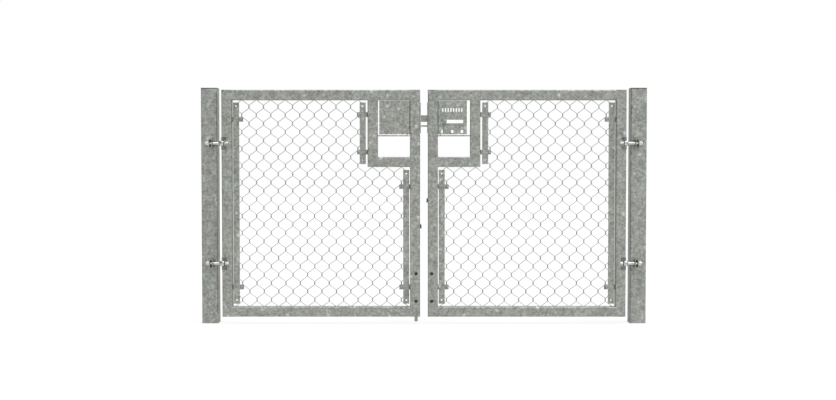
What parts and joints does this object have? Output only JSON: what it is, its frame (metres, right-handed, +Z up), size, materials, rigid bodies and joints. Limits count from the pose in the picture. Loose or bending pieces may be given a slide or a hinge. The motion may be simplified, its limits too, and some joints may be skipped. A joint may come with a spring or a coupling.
{
  "type": "double leaf chain link gate with posts",
  "caption": "Double swing gate of galvanised square tube filled with chain link, on square posts, with adjustable eye hinges, slide bolt and drop bolts.",
  "frame": {"origin": "centre of the left post's foot, at ground level", "axes": "+X from the left post to the right post, +Y to the back of the gate, +Z up"},
  "size_m": [2.21, 0.136, 1.17],
  "materials": {
    "galvanised_tube": "hot dip galvanised tube, dull grey with a faint spangle",
    "zinc_sheet": "galvanised sheet and flat bar, satin",
    "zinc_plated": "bright zinc plated turned steel",
    "galvanised_wire": "galvanised drawn wire",
    "black_plastic": "moulded black plastic, matte",
    "grey_plastic": "moulded dark grey plastic, matte"
  },
  "bodies": {
    "root": {"left_post": "galvanised_tube", "right_post": "galvanised_tube", "post_caps": "grey_plastic", "left_hinge_brackets": "zinc_sheet", "left_eye_bolts": "zinc_plated", "left_hinge_nuts": "zinc_plated", "right_hinge_brackets": "zinc_sheet", "right_eye_bolts": "zinc_plated", "right_hinge_nuts": "zinc_plated"},
    "left_leaf": {"left_hinge_stile": "galvanised_tube", "left_hinge_pockets": "galvanised_tube", "left_hinge_pins": "grey_plastic", "left_top_rail": "galvanised_tube", "left_bottom_rail": "galvanised_tube", "left_lock_rail": "galvanised_tube", "left_lock_stile": "galvanised_tube", "left_lock_floor": "galvanised_tube", "left_lock_cover": "zinc_sheet", "left_meeting_stile": "galvanised_tube", "left_forend_plate": "zinc_sheet", "left_mesh_tall": "galvanised_wire", "left_mesh_under_lock": "galvanised_wire", "left_tension_bars": "galvanised_tube", "left_bar_clamps": "zinc_sheet", "left_bolt_guides": "black_plastic"},
    "right_leaf": {"right_hinge_stile": "galvanised_tube", "right_hinge_pockets": "galvanised_tube", "right_hinge_pins": "grey_plastic", "right_top_rail": "galvanised_tube", "right_bottom_rail": "galvanised_tube", "right_lock_rail": "galvanised_tube", "right_lock_stile": "galvanised_tube", "right_lock_floor": "galvanised_tube", "right_lock_cover": "zinc_sheet", "right_meeting_stile": "galvanised_tube", "right_forend_plate": "zinc_sheet", "right_mesh_tall": "galvanised_wire", "right_mesh_under_lock": "galvanised_wire", "right_tension_bars": "galvanised_tube", "right_bar_clamps": "zinc_sheet", "right_bolt_guides": "black_plastic"},
    "slide_bolt": {"slide_bolt": "zinc_sheet", "slide_knob": "black_plastic"},
    "left_drop_bolt": {"left_drop_bolt": "zinc_plated", "left_drop_handle": "black_plastic"},
    "right_drop_bolt": {"right_drop_bolt": "zinc_plated", "right_drop_handle": "black_plastic"}
  },
  "joints": [
    {"name": "left_leaf_swing", "type": "hinge", "parent": "root", "child": "left_leaf", "pos_m": [0.068, -0.055, 0], "axis": [0, 0, -1], "range_deg": [0, 95]},
    {"name": "right_leaf_swing", "type": "hinge", "parent": "root", "child": "right_leaf", "pos_m": [2.062, -0.055, 0], "axis": [0, 0, 1], "range_deg": [0, 95]},
    {"name": "slide_bolt_travel", "type": "slide", "parent": "right_leaf", "child": "slide_bolt", "axis": [1, 0, 0], "range_m": [-0.008, 0.08]},
    {"name": "left_drop_travel", "type": "slide", "parent": "left_leaf", "child": "left_drop_bolt", "axis": [0, 0, 1], "range_m": [0, 0.129]},
    {"name": "right_drop_travel", "type": "slide", "parent": "right_leaf", "child": "right_drop_bolt", "axis": [0, 0, 1], "range_m": [-0.129, 0]}
  ]
}
